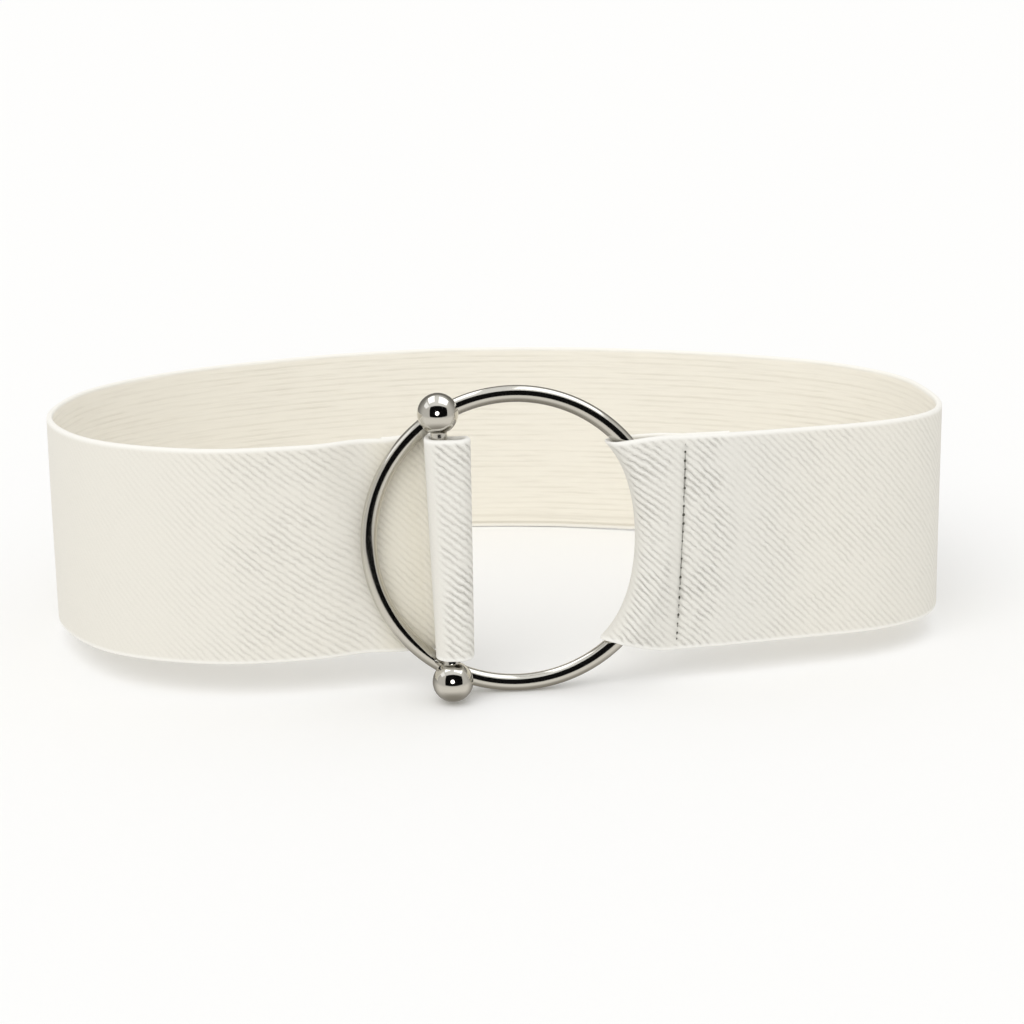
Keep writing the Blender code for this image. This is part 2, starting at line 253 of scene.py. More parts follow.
# What follows from them.
HALF_WIDTH = LOOP_WIDTH / 2
HALF_DEPTH = LOOP_DEPTH / 2
RING_RADIUS = math.hypot(BAND_WIDTH / 2 + TAPE_PLAY, BAR_OFFSET) + WIRE_RADIUS
LAYER = BAND_THICKNESS + CLEARANCE
BAR_WRAP = BAR_RADIUS + LAYER
WIRE_BACK = WIRE_RADIUS + WIRE_CLEARANCE
WIRE_WRAP = WIRE_BACK + BAND_THICKNESS
TAIL_BACK = BAND_THICKNESS + LAYER
BALL_REACH = RING_RADIUS + BALL_OVERHANG
BALL_FORWARD = math.sqrt((BALL_RADIUS + WIRE_RADIUS + CLEARANCE) ** 2 - BALL_OVERHANG ** 2)
RING_MIDDLE = Vector((RING_PLACE[0] * HALF_WIDTH, RING_PLACE[1] * HALF_DEPTH, BAND_WIDTH / 2 + RING_RISE))
RING_ACROSS = Vector((math.cos(RING_YAW), math.sin(RING_YAW), 0.0))
RING_LEVEL = Vector((-math.sin(RING_YAW), math.cos(RING_YAW), 0.0))
RING_UP = math.cos(RING_LEAN) * Vector((0.0, 0.0, 1.0)) + math.sin(RING_LEAN) * RING_LEVEL
RING_FORWARD = RING_ACROSS.cross(RING_UP)
RING_SIDE = RING_MIDDLE.x - RING_RADIUS - WIRE_RADIUS / 2


def belt_frame():
    """The belt's own frame in the world, from where the ring stands."""
    turn = Matrix.Rotation(-STAND_LEAN, 4, "X")
    low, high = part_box("buckle_ring")
    middle = (Vector(low) + Vector(high)) / 2
    return Matrix.Translation(middle - turn @ RING_MIDDLE) @ turn


def ring_point(across, up, forward=0.0):
    """A point of the ring's own plane, in the belt's frame."""
    return RING_MIDDLE + across * RING_ACROSS + up * RING_UP + forward * RING_FORWARD


def ball_centre(side):
    """Centre of the upper (side 1) or lower (side -1) ball."""
    upright = math.sqrt(BALL_REACH ** 2 - BAR_OFFSET ** 2)
    across = -BAR_OFFSET - side * upright * math.tan(BAR_TILT)
    return ring_point(across, side * math.sqrt(BALL_REACH ** 2 - across ** 2), BALL_FORWARD)


def bar_at(height):
    """Where the bar's axis is at a height."""
    low, high = ball_centre(-1), ball_centre(1)
    return low.lerp(high, (height - low.z) / (high.z - low.z))


def wire_at(height, side):
    """Middle of the wire on one side at a height, and the half width that it takes there."""
    up = (height - RING_MIDDLE.z) / RING_UP.z
    across = math.sqrt(RING_RADIUS ** 2 - up ** 2)
    return ring_point(side * across, up), WIRE_BACK * RING_RADIUS / across


def behind_ring(x, height):
    """Depth of a face that rests against the back of the ring."""
    lean = (height - RING_MIDDLE.z) * math.tan(RING_LEAN)
    return RING_MIDDLE.y + (x - RING_MIDDLE.x) * math.tan(RING_YAW) + lean + WIRE_BACK


def smooth(t):
    """0 below 0, 1 above 1, and an even slope between."""
    t = np.clip(t, 0.0, 1.0)
    return t * t * (3.0 - 2.0 * t)


def arc(middle, radius, start, end, steps):
    """Points of an arc, with its angles in degrees."""
    angles = np.radians(np.linspace(start, end, steps + 1))
    return [(middle[0] + radius * math.cos(a), middle[1] + radius * math.sin(a)) for a in angles]


def tangent_arc(middle, radius, outside, side):
    """Arc round the wire, from where a line from outside touches it to its front (-1) or its back (1)."""
    offset = Vector((outside[0] - middle.x, outside[1] - middle.y))
    turn = math.acos(min(radius / offset.length, 1.0))
    touch = math.degrees(math.atan2(offset.y, offset.x) + side * turn)
    return arc((middle.x, middle.y), radius, touch, side * 90.0, CORNER_STEPS - 1)


def between(start, end):
    """Points of a straight stretch, without its ends."""
    shares = np.arange(1, LEAD_STEPS + 1) / (LEAD_STEPS + 1)
    return [(start[0] + t * (end[0] - start[0]), start[1] + t * (end[1] - start[1])) for t in shares]


def spline(points, count):
    """Many points of a natural cubic spline through rows of values, by the length of its first two."""
    values = np.array(points, float)
    gaps = np.hypot(*np.diff(values[:, :2], axis=0).T)
    knots = np.concatenate(([0.0], np.cumsum(gaps)))
    size = len(values)
    matrix = np.eye(size)
    right = np.zeros_like(values)
    for i in range(1, size - 1):
        matrix[i, i - 1:i + 2] = gaps[i - 1], 2.0 * (gaps[i - 1] + gaps[i]), gaps[i]
        slopes = (values[i + 1] - values[i]) / gaps[i], (values[i] - values[i - 1]) / gaps[i - 1]
        right[i] = 6.0 * (slopes[0] - slopes[1])
    bends = np.linalg.solve(matrix, right)
    places = np.linspace(0.0, knots[-1], count)
    cells = np.clip(np.searchsorted(knots, places, side="right") - 1, 0, size - 2)
    step = gaps[cells][:, None]
    ahead = (knots[cells + 1] - places)[:, None]
    past = (places - knots[cells])[:, None]
    start, end = values[cells], values[cells + 1]
    bend_a, bend_b = bends[cells], bends[cells + 1]
    curve = (bend_a * ahead ** 3 + bend_b * past ** 3) / (6.0 * step)
    curve += (start / step - bend_a * step / 6.0) * ahead
    return curve + (end / step - bend_b * step / 6.0) * past


def inward(path):
    """Unit normals to the right of a path, mitred so that an offset keeps its distance."""
    steps = np.diff(path[:, :2], axis=0)
    normals = np.stack((steps[:, 1], -steps[:, 0]), 1) / np.linalg.norm(steps, axis=1)[:, None]
    before = np.vstack((normals[:1], normals))
    after = np.vstack((normals, normals[-1:]))
    return (before + after) / (1.0 + (before * after).sum(1))[:, None]


def panel_row(share, start, seam):
    """The tape's outer face round the loop in one row: x, y, lift of the hem and of the rim."""
    height = share * BAND_WIDTH
    lean = (height - BAND_WIDTH / 2) * math.tan(RING_LEAN)
    points = [(start[0], start[1], PASSAGE_LIFT[0], PASSAGE_LIFT[1])]
    for x in ((start[0] + RING_SIDE) / 2, RING_SIDE):
        points.append((x, behind_ring(x, height), PANEL_LIFT[0], PANEL_LIFT[1]))
    for across, deep, lean_share, hem, rim in LEFT_PANEL:
        x = RING_SIDE - across * (HALF_WIDTH + RING_SIDE)
        points.append((x, deep * HALF_DEPTH + lean_share * lean, hem, rim))
    for across, deep in BACK_PANEL:
        points.append((across * HALF_WIDTH, deep * HALF_DEPTH, 0.0, 0.0))
    for across, deep, lean_share in RIGHT_PANEL:
        x = seam[0] + across * (HALF_WIDTH - seam[0])
        points.append((x, deep * HALF_DEPTH + lean_share * lean, 0.0, 0.0))
    points.append((seam[0], seam[1], 0.0, 0.0))
    fine = spline(points, FINE * LOOP_STEPS)
    length = np.concatenate(([0.0], np.cumsum(np.hypot(*np.diff(fine[:, :2], axis=0).T))))
    marks = np.concatenate((
        np.linspace(0.0, LEFT_TAIL, TAIL_STEPS + 1)[:-1],
        np.linspace(LEFT_TAIL, length[-1] - RIGHT_TAIL, LOOP_STEPS + 1),
        np.linspace(length[-1] - RIGHT_TAIL, length[-1], SEAM_STEPS + 1)[1:],
    ))
    return np.stack([np.interp(marks, length, fine[:, i]) for i in range(4)], 1)


def seam_at(height):
    """Where the right seam goes through the panel's outer face at a height."""
    lean = (height - BAND_WIDTH / 2) * math.tan(RING_LEAN)
    share = height / BAND_WIDTH
    x = RING_MIDDLE.x + RING_RADIUS * RING_ACROSS.x + SEAM_SETBACK + SEAM_SLANT * (height - BAND_WIDTH / 2)
    x += SEAM_BOW * (4.0 * share * (1.0 - share) - 0.5)
    return np.array((x, SEAM_DEPTH * HALF_DEPTH + SEAM_LEAN * lean))


def tape_row(share):
    """One row of the tape's outer face as x, y, z, and how many of its points belong to each stretch."""
    height = share * BAND_WIDTH

    # The sleeve round the bar, and the passage through the ring.
    sleeve_height = height + RING_RISE
    bar = bar_at(sleeve_height)
    sleeve_right = max(bar_at(RING_MIDDLE.z).x + SLEEVE_REACH, bar.x + BAR_WRAP)
    pocket = (sleeve_right - BAR_WRAP, bar.y)
    lift = PASSAGE_LIFT[0] * (1.0 - share) + PASSAGE_LIFT[1] * share
    pass_height = height + lift * RING_RISE
    wire, half = wire_at(pass_height, -1)
    flank = bar.x - BAR_WRAP
    passage = max(flank, wire.x + half)
    pivot = (passage - WIRE_BACK, behind_ring(passage - WIRE_BACK, pass_height) - WIRE_BACK)
    turn_out = 90.0 + math.degrees(RING_YAW)
    round_wire = arc(pivot, WIRE_BACK, 0.0, turn_out, CORNER_STEPS)
    inner_turn = (passage + TAIL_BACK + CLEARANCE, bar.y + BAR_WRAP + CLEARANCE)
    sleeve = arc(pivot, WIRE_BACK + TAIL_BACK, turn_out, 0.0, CORNER_STEPS)
    sleeve += arc(inner_turn, CLEARANCE, 180.0, 270.0, CORNER_STEPS)
    sleeve += arc(pocket, BAR_WRAP, 90.0, -90.0, FOLD_STEPS)
    sleeve += arc((bar.x, bar.y), BAR_WRAP, -90.0, -180.0, FOLD_STEPS // 2)
    for step in range(1, CORNER_STEPS):
        t = step / CORNER_STEPS
        sleeve.append((flank + (passage - flank) * smooth(t), bar.y + (pivot[1] - bar.y) * t))
    sleeve += round_wire

    # The fold round the ring on the right.
    pinch = FOLD_PINCH * (1.0 - share) - RIM_DIP * share
    wire, half = wire_at(height + pinch, 1)
    slack = FOLD_SLACK * (4.0 * share * (1.0 - share)) ** SLACK_POWER
    fold = wire.x - half - BAND_THICKNESS - slack
    fold_middle = Vector((fold + WIRE_WRAP, wire.y))
    front = Vector((max(wire.x, fold_middle.x), wire_at(height, 1)[0].y))
    back = Vector((front.x, wire.y))
    panel = panel_row(share, round_wire[-1], seam_at(height))
    tail = panel[:, :2] + TAIL_BACK * inward(panel)
    right = tangent_arc(front, WIRE_WRAP, panel[-1], -1)
    right += arc(fold_middle, WIRE_WRAP, -90.0, -270.0, FOLD_STEPS)
    right += tangent_arc(back, WIRE_WRAP, tail[-1], 1)[::-1]
    right = between(panel[-1], right[0]) + right + between(right[-1], tail[-1])

    # Heights along the row.
    rise = RING_RISE * (panel[:, 2] * (1.0 - share) + panel[:, 3] * share)
    points = [(x, y, height + z) for (x, y), z in zip(tail[TAIL_STEPS:0:-1], rise[TAIL_STEPS:0:-1])]
    for x, y in sleeve:
        nearness = smooth((y - bar.y - BAR_RADIUS) / (pivot[1] - bar.y - BAR_RADIUS))
        points.append((x, y, sleeve_height + (pass_height - sleeve_height) * float(nearness)))
    points += [(x, y, height + z) for (x, y), z in zip(panel[1:, :2], rise[1:])]
    pinch_from = RING_MIDDLE.x + RING_RADIUS + WIRE_RADIUS
    for x, y in right:
        points.append((x, y, height + pinch * smooth((pinch_from - x) / (pinch_from - fold))))
    points += [(x, y, height) for x, y in tail[:-SEAM_STEPS - 2:-1]]
    return np.array(points), (TAIL_STEPS, len(sleeve), len(panel) - 1, len(right), SEAM_STEPS + 1)


def tape_section():
    """The tape's section, up the outer face, over the rim and down: share, depth, 1 if inside."""
    corner = EDGE_ROUND / BAND_WIDTH
    turn = np.linspace(0.0, math.pi / 2, EDGE_STEPS + 1)
    rise = corner * (1.0 - np.sin(turn))
    sink = EDGE_ROUND * (1.0 - np.cos(turn))
    outer = [(share, 0.0, 0) for share in np.linspace(corner, 1.0 - corner, OUTER_ROWS)]
    over = [(1.0 - r, s, 0) for r, s in zip(rise[1:], sink[1:])]
    over += [(1.0 - r, BAND_THICKNESS - s, 1) for r, s in zip(rise[::-1], sink[::-1])]
    inner = [(share, BAND_THICKNESS, 1) for share in np.linspace(1.0 - corner, corner, INNER_ROWS)[1:]]
    under = [(r, BAND_THICKNESS - s, 1) for r, s in zip(rise[1:], sink[1:])]
    under += [(r, s, 0) for r, s in zip(rise[::-1], sink[::-1])][:-1]
    return [(float(share), float(depth), side) for share, depth, side in outer + over + inner + under]


def tape_relief(row, parts, share, inside):
    """How far each point of a row is pushed inwards, by the sewn groove, the tail's edge and slow waves."""
    left, sleeve, panel, right, tail = parts
    panel_start = left + sleeve
    panel_end = panel_start + panel
    plan = row[:, :2]
    step = np.hypot(*np.diff(plan, axis=0).T)
    length = np.concatenate(([0.0], np.cumsum(step)))
    single = smooth((length - length[panel_start] - LEFT_TAIL) / WAVE_FADE)
    single *= smooth((length[panel_end] - RIGHT_TAIL - length) / WAVE_FADE)
    waves = sum(part * np.sin(length * pace + drift * share + start) for part, pace, drift, start in WAVES)
    relief = WAVE_HEIGHT * single * waves
    if inside:
        return relief
    height = share * BAND_WIDTH
    sewn = smooth((height - SEAM_LOW) / PULL_FADE) * smooth((BAND_WIDTH - SEAM_HIGH - height) / PULL_FADE)
    sewn = GROOVE_ENDS + (1.0 - GROOVE_ENDS) * sewn
    pull = 1.0 - GROOVE_RIPPLE + GROOVE_RIPPLE * math.cos(2.0 * math.pi * height / STITCH_PITCH)
    for seam in (plan[panel_end - 1], plan[len(row) - tail]):
        away = np.hypot(*(plan - seam).T)
        relief += GROOVE_DEPTH * sewn * pull * np.exp(-(away / GROOVE_WIDTH) ** 2)
    behind = length[panel_end - 1] - RIGHT_TAIL - length
    return relief - TAIL_SHOW * np.exp(-(behind / TAIL_SHOW_WIDTH) ** 2)


def read_along(table, marks, length):
    """A value all along a row, from a table with marks along it."""
    places = [marks[mark] + along for mark, along, value in table]
    return np.interp(length, places, [value for mark, along, value in table])


def weave_run(row, parts, share):
    """How far the weave has run along a row, which sets its diagonals' slant, its looks, and its length.

    The diagonals stand deep where the tape is slack, at its sewn ends, and lie flat where it is stretched.
    """
    left, sleeve, panel, right, tail = parts
    length = np.concatenate(([0.0], np.cumsum(np.hypot(*np.diff(row[:, :2], axis=0).T))))
    seam = length[left + sleeve + panel - 1]
    marks = {
        "tail": 0.0,
        "strip": length[left + sleeve - CORNER_STEPS - FOLD_STEPS // 2],
        "leaving": length[left + sleeve],
        "tail_edge": seam - RIGHT_TAIL + EDGE_DRIFT * math.sin(7.0 * share + 1.0),
        "seam": seam,
        "fold": (length[left + sleeve + panel] + length[left + sleeve + panel + right - 1]) / 2,
    }
    slant = read_along(SLANTS, marks, length)
    run = np.concatenate(([0.0], np.cumsum(np.diff(length) * (slant[1:] + slant[:-1]) / 2)))
    seams = (seam, length[len(row) - tail])
    looks = {
        "bold": read_along(BOLDNESS, marks, length),
        "shade_tint": read_along(SHADE_TINTS, marks, length),
        # where the seams' painted shade lies
        "sewn": sum(np.exp(-((length - place) / SHADE_WIDTH) ** 2) for place in seams),
    }
    return run, looks, length[-1]


def make_tape(place):
    """The whole tape as one closed loft, with its weave's run and height as a UV map."""
    section = tape_section()
    columns = []
    runs = []
    looks = {"bold": [], "shade_tint": [], "sewn": []}
    flat_length = 0.0
    for share, depth, inside in section:
        row, parts = tape_row(share)
        run, values, length = weave_run(row, parts, share)
        flat_length = max(flat_length, length)
        moved = row.copy()
        moved[:, :2] += (depth + tape_relief(row, parts, share, inside))[:, None] * inward(row)
        columns.append(moved)
        runs.append(run)
        for name, value in values.items():
            looks[name].append(value)
    grid = np.stack(columns, 1)
    count, size = grid.shape[:2]
    index = np.arange(count * size).reshape(count, size)
    around = np.roll(index, -1, axis=1)
    quads = np.stack((index[:-1], index[1:], around[1:], around[:-1]), 2).reshape(-1, 4)
    faces = quads.tolist() + [index[0].tolist(), index[-1, ::-1].tolist()]
    mesh = bpy.data.meshes.new("woven_tape")
    mesh.from_pydata([place @ Vector(point) for point in grid.reshape(-1, 3)], [], faces)
    uv = mesh.uv_layers.new(name="weave")
    heights = np.array([share * BAND_WIDTH for share, depth, inside in section])
    flat = np.stack((np.stack(runs, 1), np.broadcast_to(heights, (count, size))), 2).reshape(-1, 2)
    corners = np.empty(len(mesh.loops), int)
    mesh.loops.foreach_get("vertex_index", corners)
    uv.data.foreach_set("uv", flat[corners].astype(np.float32).ravel())
    for name, values in looks.items():
        attribute = mesh.attributes.new(name, "FLOAT", "POINT")
        attribute.data.foreach_set("value", np.stack(values, 1).astype(np.float32).ravel())
    sides = [inside for share, depth, inside in section]
    mesh.polygons.foreach_set("material_index", np.array(sides * (count - 1) + [1, 1], np.int32))
    mesh.shade_smooth()
    mesh.set_sharp_from_angle(angle=SHARP_TAPE)
    tape = bpy.data.objects.new("woven_tape", mesh)
    bpy.context.collection.objects.link(tape)
    return tape, flat_length


def start_piece():
    """Nothing stays selected when a new primitive is added."""
    if bpy.context.object and bpy.context.object.mode != "OBJECT":
        bpy.ops.object.mode_set(mode="OBJECT")
    bpy.ops.object.select_all(action="DESELECT")


def select_where(piece, test):
    """Selects the points of a piece that pass a test, with the edges and faces between them."""
    points = piece.data.vertices
    for point in points:
        point.select = test(point.co)
    for parts in (piece.data.edges, piece.data.polygons):
        for part in parts:
            part.select = all(points[k].select for k in part.vertices)


def finish_piece(piece, name, place):
    """Names a piece, puts its place into its mesh and shades it."""
    piece.name = name
    piece.data.name = name
    piece.data.transform(place @ piece.matrix_basis)
    piece.matrix_basis = Matrix.Identity(4)
    start_piece()
    piece.select_set(True)
    bpy.context.view_layer.objects.active = piece
    bpy.ops.object.shade_smooth_by_angle(angle=SHARP_PIECE)
    return piece


def make_ring(place):
    """The wire ring: a round section spun about the ring's axis."""
    start_piece()
    upright = (math.pi / 2, 0.0, 0.0)
    bpy.ops.mesh.primitive_circle_add(
        vertices=WIRE_STEPS, radius=WIRE_RADIUS, location=(RING_RADIUS, 0.0, 0.0), rotation=upright
    )
    ring = bpy.context.object
    bpy.ops.object.transform_apply(location=True, rotation=True, scale=True)
    bpy.ops.object.mode_set(mode="EDIT")
    bpy.ops.mesh.select_all(action="SELECT")
    bpy.ops.mesh.spin(
        steps=RING_STEPS, angle=2.0 * math.pi, center=(0.0, 0.0, 0.0), axis=(0.0, 0.0, 1.0),
        use_auto_merge=True
    )
    bpy.ops.mesh.select_all(action="SELECT")
    bpy.ops.mesh.remove_doubles(threshold=1e-6)
    bpy.ops.mesh.normals_make_consistent(inside=False)
    bpy.ops.object.mode_set(mode="OBJECT")
    turn = Matrix((RING_ACROSS, RING_UP, RING_FORWARD)).transposed().to_4x4()
    return finish_piece(ring, "polished_ring", place @ Matrix.Translation(RING_MIDDLE) @ turn)


def make_toggle(place):
    """The bar: a ball opened at its top, drawn up through a small hollow into half the bar, mirrored."""
    low, high = ball_centre(-1), ball_centre(1)
    length = (high - low).length
    start_piece()
    bpy.ops.mesh.primitive_uv_sphere_add(segments=BALL_SEGMENTS, ring_count=BALL_RINGS, radius=BALL_RADIUS)
    toggle = bpy.context.object
    neck = math.sqrt(BALL_RADIUS ** 2 - (BAR_RADIUS + RINGLET) ** 2)
    select_where(toggle, lambda point: point.z > neck)
    bpy.ops.object.mode_set(mode="EDIT")
    bpy.ops.mesh.delete(type="VERT")
    bpy.ops.object.mode_set(mode="OBJECT")
    rim = max(vertex.co.z for vertex in toggle.data.vertices)
    select_where(toggle, lambda point: point.z > rim - 1e-6)
    bpy.ops.object.mode_set(mode="EDIT")
    radius = math.sqrt(BALL_RADIUS ** 2 - rim ** 2)
    hollow = radius - BAR_RADIUS
    width, raised = radius, 0.0
    for step in range(1, NECK_STEPS + 1):
        angle = math.pi / 2 * step / NECK_STEPS
        lift = hollow * (1.0 - math.cos(angle)) - raised
        bpy.ops.mesh.extrude_region_move(TRANSFORM_OT_translate={"value": (0.0, 0.0, lift)})
        shrink = (radius - hollow * math.sin(angle)) / width
        bpy.ops.transform.resize(value=(shrink, shrink, 1.0), center_override=(0.0, 0.0, 0.0))
        width, raised = width * shrink, raised + lift
    top = rim + hollow
    bpy.ops.mesh.extrude_region_move(TRANSFORM_OT_translate={"value": (0.0, 0.0, length / 2 - top)})
    bpy.ops.object.mode_set(mode="OBJECT")
    for vertex in toggle.data.vertices:
        vertex.co.z -= length / 2
    mirror = toggle.modifiers.new("other_half", "MIRROR")
    mirror.use_axis = (False, False, True)
    mirror.merge_threshold = 1e-5
    bpy.ops.object.modifier_apply(modifier=mirror.name)
    bpy.ops.object.mode_set(mode="EDIT")
    bpy.ops.mesh.select_all(action="SELECT")
    bpy.ops.mesh.normals_make_consistent(inside=False)
    bpy.ops.object.mode_set(mode="OBJECT")
    turn = (high - low).to_track_quat("Z", "Y").to_matrix().to_4x4()
    return finish_piece(toggle, "ball_toggle", place @ Matrix.Translation((low + high) / 2) @ turn)


def make_stitches(name, places, thread, dark):
    """A row of stitches, each a short thread that dives into a needle hole, a small dark piece of painted
    shade.
    """
    made = []
    pit_shape = Matrix.Diagonal(HOLE_SHAPE)
    round_size = {"segments": THREAD_SEGMENTS, "ring_count": THREAD_RINGS}
    for middle, along, outward, length, hole in places:
        start_piece()
        bpy.ops.mesh.primitive_uv_sphere_add(radius=THREAD_RADIUS, **round_size)
        stitch = bpy.context.object
        select_where(stitch, lambda point: point.z > 1e-6)
        bpy.ops.object.mode_set(mode="EDIT")
        reach = length - 2.0 * THREAD_RADIUS
        bpy.ops.transform.translate(value=(0.0, 0.0, reach))
        bpy.ops.object.mode_set(mode="OBJECT")
        across = outward.cross(along).normalized()
        turn = Matrix((across, outward, along)).transposed().to_4x4()
        stitch.matrix_basis = Matrix.Translation(middle) @ turn @ Matrix.Translation((0.0, 0.0, -reach / 2))
        stitch.data.materials.append(thread)
        made.append(stitch)
        start_piece()
        bpy.ops.mesh.primitive_uv_sphere_add(radius=hole, **round_size)
        pit = bpy.context.object
        pit.matrix_basis = Matrix.Translation(middle + along * length / 2) @ turn @ pit_shape
        pit.data.materials.append(dark)
        made.append(pit)
    start_piece()
    for stitch in made:
        stitch.select_set(True)
    bpy.context.view_layer.objects.active = made[0]
    bpy.ops.object.join()
    return finish_piece(bpy.context.object, name, Matrix.Identity(4))


def seam_places(place, back):
    """Where the right seam's stitches are, on the front or on the tail behind, and how long each is."""
    found = []
    chance = random.Random(SEWING_SEED)
    turn = place.to_3x3()
    sewn = BAND_WIDTH - SEAM_LOW - SEAM_HIGH
    count = int(sewn / STITCH_PITCH)
    for i in range(count + 1):
        height = SEAM_LOW + sewn * i / count + chance.uniform(-HEIGHT_PLAY, HEIGHT_PLAY)
        row, parts = tape_row(height / BAND_WIDTH)
        at = len(row) - parts[4] if back else sum(parts[:3]) - 1
        across, deep = inward(row)[at]
        outward = -Vector((across, deep, 0.0)).normalized()
        sink = GROOVE_DEPTH - THREAD_RADIUS * chance.uniform(-DEPTH_PLAY, DEPTH_PLAY)
        middle = Vector(row[at]) - outward * sink
        slant = Vector((SEAM_SLANT + chance.uniform(-SLANT_PLAY, SLANT_PLAY), 0.0, 1.0)).normalized()
        along = (slant - outward * slant.dot(outward)).normalized()
        sunk = 0.0 < i / count < SUNK_SHARE or i == count
        length = chance.uniform(*(SUNK_LENGTH if sunk else STITCH_LENGTH))
        hole = chance.uniform(*HOLE_RADIUS)
        found.append((place @ middle, turn @ along, turn @ outward, length, hole))
    return found


class Wire:
    """A socket of a material's nodes, with the sums that it takes part in written as plain expressions."""

    def __init__(self, finish, socket):
        self.finish = finish
        self.socket = socket

    def sum(self, operation, *others):
        return self.finish.node("ShaderNodeMath", {"operation": operation}, self, *others)

    def __add__(self, other):
        return self.sum("ADD", other)

    __radd__ = __add__

    def __sub__(self, other):
        return self.sum("SUBTRACT", other)

    def __rsub__(self, other):
        return self * -1.0 + other

    def __mul__(self, other):
        return self.sum("MULTIPLY", other)

    __rmul__ = __mul__

    def __truediv__(self, other):
        return self.sum("DIVIDE", other)

    def between(self, low, high):
        """0 below low, 1 above high and smooth between."""
        settings = {"interpolation_type": "SMOOTHSTEP"}
        return self.finish.node("ShaderNodeMapRange", settings, self, low, high, 0.0, 1.0)


class Finish:
    """A material with its Principled shader, and one way to add any node."""

    def __init__(self, name):
        self.material = bpy.data.materials.new(name)
        self.material.use_nodes = True
        self.tree = self.material.node_tree
        self.shader = self.tree.nodes["Principled BSDF"]

    def node(self, kind, settings=None, *values, **named):
        """A node of a kind, with its settings and its sockets' values or links, in order or by name."""
        made = self.tree.nodes.new(kind)
        for setting, value in (settings or {}).items():
            setattr(made, setting, value)
        for key, value in (*enumerate(values), *named.items()):
            socket = made.inputs[key.replace("_", " ") if isinstance(key, str) else key]
            if isinstance(value, Wire):
                self.tree.links.new(value.socket, socket)
            elif value is not None:
                socket.default_value = value
        outputs = [socket for socket in made.outputs if socket.enabled]
        return Wire(self, outputs[0])

    def part(self, wire, name):
        """Another output of the node that a wire comes from."""
        return Wire(self, wire.socket.node.outputs[name])

    def mix(self, share, first, second):
        """A colour between two, by a share."""
        made = self.tree.nodes.new("ShaderNodeMix")
        made.data_type = "RGBA"
        pairs = ((made.inputs["Factor"], share), (made.inputs[6], first), (made.inputs[7], second))
        for socket, value in pairs:
            if isinstance(value, Wire):
                self.tree.links.new(value.socket, socket)
            else:
                socket.default_value = value
        return Wire(self, made.outputs[2])

    def set(self, **values):
        """Sets the shader's own sockets."""
        for key, value in values.items():
            socket = self.shader.inputs[key.replace("_", " ")]
            if isinstance(value, Wire):
                self.tree.links.new(value.socket, socket)
            else:
                socket.default_value = value

    def place(self):
        """The place of a point on its piece, in metres."""
        return self.part(self.node("ShaderNodeTexCoord"), "Object")

    def attribute(self, name):
        """What the piece's mesh says of a point."""
        return self.part(self.node("ShaderNodeAttribute", {"attribute_name": name}), "Fac")

    def stretched(self, across, up):
        """A place for a noise that is longer one way than the other."""
        return self.node("ShaderNodeCombineXYZ", None, across, up)

    def noise(self, vector, scale, detail=2.0, roughness=0.5):
        """A noise between 0 and 1."""
        named = {"Vector": vector, "Scale": scale, "Detail": detail, "Roughness": roughness}
        return self.node("ShaderNodeTexNoise", None, **named)

    def bump(self, height, distance, strength=1.0, normal=None):
        """A normal from a height."""
        named = {"Height": height, "Distance": distance, "Strength": strength}
        if normal is not None:
            named["Normal"] = normal
        return self.node("ShaderNodeBump", None, **named)


# Colours of the tape's outer face.
CREAM_WARM_SHADE = (0.80, 0.765, 0.665, 1.0)      # warm tint painted for the passage through the ring, which lies in shade
CREAM_CALM = (0.79, 0.765, 0.697, 1.0)      # the stretched panels
CREAM_ENDS_SHADE = (0.755, 0.740, 0.690, 1.0)    # painted shade of the sewn ends, greyer and darker for their folds and deep grooves
CREAM_PATCH = (0.82, 0.785, 0.69, 1.0)
CREAM_RIDGE_HIGHLIGHT = (0.90, 0.885, 0.84, 1.0)
CREAM_GROOVE_SHADE_AND_SPECKLE = (0.42, 0.405, 0.36, 1.0)
# painted shade along the sewn seams
SEAM_SHADE = (0.33, 0.325, 0.29, 1.0)

# Its edges' painted highlight, and its inner face with painted shade in its valleys.
CREAM_EDGE_HIGHLIGHT = (0.94, 0.93, 0.89, 1.0)
CREAM_INNER = (0.885, 0.848, 0.755, 1.0)
CREAM_VALLEY_SHADE_AND_LINES = (0.62, 0.575, 0.49, 1.0)

# The sewing and the metal.
THREAD_DARK = (0.17, 0.165, 0.145, 1.0)
THREAD_LIGHT = (0.40, 0.39, 0.355, 1.0)
# painted shade of the needle holes
HOLE_SHADE_DARK = (0.045, 0.045, 0.035, 1.0)
HOLE_SHADE_LIGHT = (0.12, 0.118, 0.10, 1.0)
NICKEL = (0.64, 0.625, 0.585, 1.0)
NICKEL_WARM = (0.58, 0.56, 0.51, 1.0)
RING_ROUGHNESS = 0.11
TOGGLE_ROUGHNESS = 0.07

# The floor, and the room that the metal mirrors, which glows as painted reflections, with painted shadow on
# its ground below.
FLOOR_COLOUR = (0.92, 0.92, 0.915, 1.0)
BLACK = (0.0, 0.0, 0.0, 1.0)
NEARLY_BLACK = (0.004, 0.004, 0.004, 1.0)
WHITE = (1.0, 1.0, 1.0, 1.0)
WALL = (0.68, 0.665, 0.63, 1.0)
WALL_BEHIND = (0.20, 0.19, 0.17, 1.0)
CEILING = (0.98, 0.98, 0.96, 1.0)
GROUND = (0.92, 0.89, 0.83, 1.0)
GROUND_PAINTED_SHADOW = (0.34, 0.32, 0.28, 1.0)
GROUND_BEHIND = (0.15, 0.14, 0.12, 1.0)


